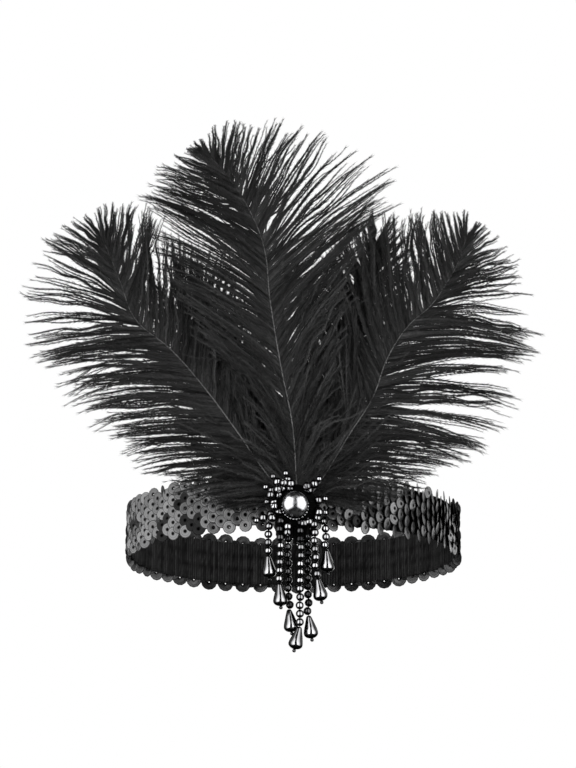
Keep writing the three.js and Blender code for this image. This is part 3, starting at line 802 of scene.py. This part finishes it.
for node, plume in plumes.items():
    across, depth = plume["foot"]
    knots = np.array(plume["spine"]) * plume["height"] * plume_height + (across, depth, -quill_foot)
    spine, length = smooth_line(knots.tolist(), 400)
    sides = (("left", -1), ("right", 1))
    tufts = [vane_barbs(spine, length, plume[side], sign, plume["loose"]) for side, sign in sides]
    tufts.append(down_barbs(spine, plume["loose"], 0.2 if plume["loose"] >= 0 else 0.55))
    paths, fronts = (np.concatenate(parts) for parts in zip(*tufts))
    down = barb.copy()
    down.data = barb.data.copy()
    bpy.context.collection.objects.link(down)
    lay_barbs(down, paths, fronts)
    down.data.materials.append(barb_down)
    rod = quill_rod(spine)
    rod.data.materials.append(quill_horn)
    deselect()
    rod.select_set(True)
    down.select_set(True)
    bpy.context.view_layer.objects.active = down
    bpy.ops.object.join()
    finish_piece(down, node + "_feather", barb_down, "feather", node)

bpy.data.objects.remove(barb)

# The brooch: a round felt base with short rays of beads sewn to its face, each ending in a smaller bead, a
# few beads between them, a large silvery pearl in the middle, and short black rods below its lower rim.
brooch_place = Vector((0.8 * mm, 0, -4.5 * mm))
brooch_radius = 10.5 * mm
brooch_back = centre_depth - quill_seat - 0.3 * mm
brooch_thickness = 3.4 * mm
brooch_face = brooch_back - brooch_thickness
pearl_diameter = 12.4 * mm
pearl_below = 0.8 * mm
bead_diameter = 3.9 * mm
ray_bead_diameter = 4.3 * mm
bead_pitch = 4 * mm
seed_diameter = 3 * mm
bead_bore = 0.45 * mm
thread_radius = 0.3 * mm
seat_gap = 0.3 * mm

# Rows are the angle round the brooch in degrees and the reach from its middle in brooch radii
rays = [(12, 1.42), (48, 1.65), (106, 1.55), (127, 1.68), (148, 1.59), (173, 1.3), (202, 1.9), (310, 0.92)]
rays += [(330, 1.5), (346, 1.42)]
loose_beads = [(57, 1), (101, 0.98), (117, 1.12), (139, 1.05), (159, 1.2), (186, 0.95), (211, 1.22)]
loose_beads += [(252, 1.09), (255, 1.36), (294, 0.97), (308, 1.03), (341, 1.15)]
dark_rod_count = 27
dark_rod_radius = 0.9 * mm
dark_rod_row_width = 1.7
dark_rods_above_rim = 1.5 * mm
bead_tip = 0.7
loose_bead_tip = 0.6
loose_bead_step = 2.3 * mm
collar_beads = 26
collar_diameter = 1.3 * mm

deselect()
bpy.ops.mesh.primitive_cylinder_add(
    vertices=48,
    radius=brooch_radius,
    depth=brooch_thickness,
    location=(brooch_place.x, (brooch_back + brooch_face) / 2, brooch_place.z),
    rotation=(math.radians(90), 0, 0),
)
felt = bpy.context.object
bpy.ops.object.transform_apply(location=True, rotation=True, scale=True)
pick_faces(felt, lambda face: abs(face.normal.y) > 0.9)
bpy.ops.mesh.inset(thickness=brooch_radius * 0.12, use_individual=True)
bpy.ops.mesh.inset(thickness=brooch_radius * 0.5, use_individual=True)
bpy.ops.object.mode_set(mode="OBJECT")
soft_edge = felt.modifiers.new("soft_edge", "BEVEL")
soft_edge.width = 0.8 * mm
soft_edge.segments = 3
apply_modifiers(felt)
bpy.ops.object.shade_smooth_by_angle(angle=math.radians(40))
base_felt, nodes, links, shader = new_material("base_felt", 0.9, 0.02)
add_yarn(nodes, links, shader, (1, 1, 1), 2500, (0.0005, 0.0005, 0.0005), (0.003, 0.003, 0.003), 0.8)


def drilled_ball(diameter, segments=20, rings=12):
    """A round bead about the origin, drilled along Z: the bore's mouth is sunk at both ends."""
    deselect()
    bpy.ops.mesh.primitive_uv_sphere_add(segments=segments, ring_count=rings, radius=diameter / 2)
    ball = bpy.context.object
    corners = corners_of(ball)
    pole = np.hypot(corners[:, 0], corners[:, 1]) < 1e-6
    corners[pole, 2] *= 0.55
    mouth = np.abs(np.abs(corners[:, 2]) - np.cos(math.pi / rings) * diameter / 2) < 1e-6
    out = np.hypot(corners[mouth, 0], corners[mouth, 1])
    corners[mouth, :2] *= (bead_bore / out)[:, None]
    corners[mouth, 2] = np.sign(corners[mouth, 2]) * np.sqrt((diameter / 2) ** 2 - bead_bore**2)
    move_corners(ball, corners)
    bpy.ops.object.shade_smooth()
    return ball


def thread_rod(start, end, radius):
    """A length of thread between two places, rounded at both ends."""
    deselect()
    way = end - start
    bpy.ops.mesh.primitive_cylinder_add(vertices=8, radius=radius, depth=way.length)
    rod = bpy.context.object
    pick_faces(rod, lambda face: abs(face.normal.z) > 0.9)
    bpy.ops.mesh.inset(thickness=radius * 0.4, depth=radius * 0.4, use_individual=True)
    bpy.ops.object.mode_set(mode="OBJECT")
    turn = way.to_track_quat("Z", "Y").to_matrix().to_4x4()
    rod.data.transform(Matrix.Translation((start + end) / 2) @ turn)
    bpy.ops.object.shade_smooth()
    return rod


def place_copies(piece, matrices, dimmest=0.4, brightest=1.0):
    """Makes a piece into copies of itself, one at each matrix, each with its own brightness."""
    one = corners_of(piece)
    copy_in_line(piece, len(matrices))
    turned = [one @ np.array(m.to_3x3()).T + np.array(m.translation) for m in matrices]
    move_corners(piece, np.stack(turned))
    give_values(piece, "tint", np.repeat(chance.uniform(dimmest, brightest, len(matrices)), len(one)))


def join_pieces(pieces):
    deselect()
    for piece in pieces:
        piece.select_set(True)
    bpy.context.view_layer.objects.active = pieces[0]
    bpy.ops.object.join()
    return bpy.context.object


black_thread, nodes, links, shader = new_material("black_thread", 0.8, 0.03)
add_yarn(nodes, links, shader, (1, 1, 1), 3000, (0.001, 0.001, 0.001), (0.006, 0.006, 0.006), 0.5)

hematite, nodes, links, shader = new_material("hematite_coat", 0.1, 0.5, 1.0)
add_smudges(nodes, links, shader, 0.04, 0.12)
tones = add_tint(nodes, links, shader.inputs["Base Color"], (0.02, 0.02, 0.021), (0.46, 0.46, 0.47))
# Painted shade: each bead's colour darkens towards its outline as seen from the view, over the reflections
# at its rim.
edge = nodes.new("ShaderNodeLayerWeight")
rim_shade_range = nodes.new("ShaderNodeMapRange")
rim_shade_range.inputs["From Min"].default_value = 0.03
rim_shade_range.inputs["From Max"].default_value = 0.26
painted_rim_shade = nodes.new("ShaderNodeMix")
painted_rim_shade.data_type = "RGBA"
painted_rim_shade.inputs[7].default_value = (0.006, 0.006, 0.006, 1)
links.new(edge.outputs["Facing"], rim_shade_range.inputs["Value"])
links.new(rim_shade_range.outputs["Result"], painted_rim_shade.inputs["Factor"])
links.new(tones.outputs[2], painted_rim_shade.inputs[6])
links.new(painted_rim_shade.outputs[2], shader.inputs["Base Color"])

ray_beads, ray_seeds, ray_threads = [], [], []
for points, reach in rays:
    angle = math.radians(points)
    out = Vector((math.cos(angle), 0, math.sin(angle)))
    centre = Vector((brooch_place.x, brooch_face, brooch_place.z))
    turn = out.to_track_quat("Z", "Y").to_matrix().to_4x4()
    tip = reach * brooch_radius
    ray_seeds.append(Matrix.Translation(centre + out * tip) @ turn)
    middle = tip - (seed_diameter + bead_diameter) / 2
    while middle > (pearl_diameter + bead_diameter) / 2 + seat_gap:
        tipped = Matrix.Rotation(chance.uniform(-bead_tip, bead_tip), 4, "X")
        tipped = tipped @ Matrix.Rotation(chance.uniform(-bead_tip, bead_tip), 4, "Y")
        ray_beads.append(Matrix.Translation(centre + out * middle) @ turn @ tipped)
        middle -= bead_pitch
    ray_threads.append((centre + out * pearl_diameter / 2, centre + out * (tip + seed_diameter * 0.55)))

for points, reach in loose_beads:
    angle = math.radians(points)
    out = Vector((math.cos(angle), 0, math.sin(angle)))
    forward = Vector((0, -loose_bead_step, 0))
    centre = Vector((brooch_place.x, brooch_face, brooch_place.z))
    turn = out.cross(Vector((0, 1, 0))).to_track_quat("Z", "Y").to_matrix().to_4x4()
    turn = turn @ Matrix.Rotation(chance.uniform(0, math.tau), 4, "Y")
    turn = turn @ Matrix.Rotation(loose_bead_tip, 4, "X")
    ray_beads.append(Matrix.Translation(centre + out * reach * brooch_radius + forward) @ turn)
collar_places = []
for i in range(collar_beads):
    angle = i / collar_beads * math.tau
    out = Vector((math.cos(angle), 0, math.sin(angle))) * pearl_diameter / 2
    ring = Vector((brooch_place.x, brooch_face - collar_diameter * 0.6, brooch_place.z - pearl_below))
    collar_places.append(Matrix.Translation(ring + out))

beads = drilled_ball(ray_bead_diameter)
place_copies(beads, ray_beads, 0.35)
beads.data.materials.append(hematite)
seeds = drilled_ball(seed_diameter, 16, 10)
place_copies(seeds, ray_seeds)
seeds.data.materials.append(hematite)
collar = drilled_ball(collar_diameter, 10, 6)
place_copies(collar, collar_places)
collar.data.materials.append(hematite)
threads = [thread_rod(start, end, thread_radius) for start, end in ray_threads]
# A row of short black rods hangs from just above the brooch's lower rim.
for i in range(dark_rod_count):
    across = brooch_place.x + (i / (dark_rod_count - 1) - 0.5) * dark_rod_row_width * brooch_radius
    deep = chance.uniform(brooch_face, brooch_back)
    rim = brooch_place.z - brooch_radius * math.cos(math.asin((across - brooch_place.x) / brooch_radius))
    start = Vector((across, deep, rim + dark_rods_above_rim))
    aside = chance.normal(0, 0.3 * mm)
    end = start + Vector((aside, 0, -chance.uniform(6, 9.5) * mm))
    threads.append(thread_rod(start, end, dark_rod_radius))
for thread in threads:
    thread.data.materials.append(black_thread)
felt.data.materials.append(base_felt)
rays_and_base = join_pieces([beads, seeds, collar, felt, *threads])
finish_piece(rays_and_base, "brooch_rays", hematite, "bead", "beaded_brooch")

pearl = drilled_ball(pearl_diameter, 48, 32)
pearl.data.transform(
    Matrix.Translation(
        (brooch_place.x, brooch_face - seat_gap - pearl_diameter / 2, brooch_place.z - pearl_below)
    )
)
pearl_coat, nodes, links, shader = new_material("pearl_coat", 0.1, 0.5, 1.0)
patches = add_smudges(nodes, links, shader, 0.16, 0.36)
tones = nodes.new("ShaderNodeMix")
tones.data_type = "RGBA"
tones.inputs[6].default_value = (0.2, 0.2, 0.205, 1)
tones.inputs[7].default_value = (0.46, 0.46, 0.47, 1)
links.new(patches.outputs["Patches"], tones.inputs["Factor"])
links.new(tones.outputs[2], shader.inputs["Base Color"])
finish_piece(pearl, "large_pearl", pearl_coat, "pearl", "center_pearl")

# The seven strings: round beads threaded close together, and at the end of each a teardrop bead held by a
# small stop bead. They hang straight down from the brooch's rim or its face. The strings behind, and the top
# beads of two strings in front, have painted shade in their colour.
drop_diameter = 7 * mm
drop_length = 10.8 * mm
stop_diameter = 1.8 * mm
drop_profile_at = [0, 0.06, 0.2, 0.4, 0.6, 0.74, 0.84, 0.92, 0.97, 1]
drop_profile = [0.24, 0.36, 0.5, 0.7, 0.9, 1, 0.98, 0.8, 0.55, 0.25]
rim_depth = (brooch_back + brooch_face) / 2
front_depth = brooch_face - seat_gap - bead_diameter / 2
shaded_beads = {2: 3, 3: 10, 4: 3, 5: 11}

# Rows are the top bead's place across and below the brooch's middle, in brooch radii, the number of beads,
# the depth, the sway in mm, and the drop's tilt in degrees
strings = [
    (-1.24, 0.94, 4, rim_depth, 0.4, 4),
    (-0.72, 0.77, 8, front_depth, 0.5, 4),
    (-0.28, 1.14, 10, rim_depth, -0.5, 7),
    (0.2, 0.85, 13, front_depth, 0.5, -13),
    (0.61, 1.05, 11, rim_depth, -0.4, 8),
    (1.01, 0.93, 7, front_depth, -1.4, 10),
    (1.42, 1.06, 3, rim_depth, -0.3, 3),
]


def teardrop():
    """A drop hanging from the origin: a ball drawn up to a narrow neck, drilled along Z."""
    drop = drilled_ball(drop_diameter, 28, 24)
    corners = corners_of(drop)
    down = 0.5 - corners[:, 2] / drop_diameter
    wide = np.interp(down, drop_profile_at, drop_profile) * drop_diameter / 2
    out = np.maximum(np.hypot(corners[:, 0], corners[:, 1]), 1e-9)
    corners[:, :2] *= np.where(out > 1e-6, wide / out, 0)[:, None]
    corners[:, 2] = -down * drop_length
    move_corners(drop, corners)
    return drop


for number, (across, below, count, depth, sway, tilt) in enumerate(strings, 1):
    top = Vector((brooch_place.x + across * brooch_radius, depth, brooch_place.z - below * brooch_radius))
    beads = drilled_ball(bead_diameter)
    places = []
    for i in range(count):
        aside = sway * mm * math.cos(math.pi * i / (2 * count)) + chance.normal(0, 0.2 * mm)
        places.append(Matrix.Translation(top + Vector((aside, 0, -i * bead_pitch))))
    # Painted shade: the shaded beads get dark tints.
    in_shade = np.arange(count) < shaded_beads.get(number, 0)
    place_copies(beads, places, np.where(in_shade, 0, 0.4), np.where(in_shade, 0.2, 1))
    beads.data.materials.append(hematite)
    neck = top - Vector((0, 0, (count - 0.5) * bead_pitch))
    thread = thread_rod(top + Vector((sway * mm, 0, bead_diameter * 0.6)), neck, thread_radius)
    thread.data.materials.append(black_thread)
    name = f"bead_string_{number}"
    finish_piece(join_pieces([beads, thread]), f"hanging_beads_{number}", hematite, "bead", name)

    hang = Matrix.Translation(neck - Vector((0, 0, seat_gap)))
    hang = hang @ Matrix.Rotation(math.radians(-tilt), 4, "Y")
    drop = teardrop()
    place_copies(drop, [hang], 0.7)
    drop.data.materials.append(hematite)
    stop = drilled_ball(stop_diameter, 12, 8)
    below_drop = Matrix.Translation((0, 0, -drop_length - stop_diameter * 0.45))
    place_copies(stop, [hang @ below_drop], 0, 0.15)
    stop.data.materials.append(hematite)
    name = f"drop_bead_{number}"
    finish_piece(join_pieces([drop, stop]), f"teardrop_{number}", hematite, "drop", name)

deselect()
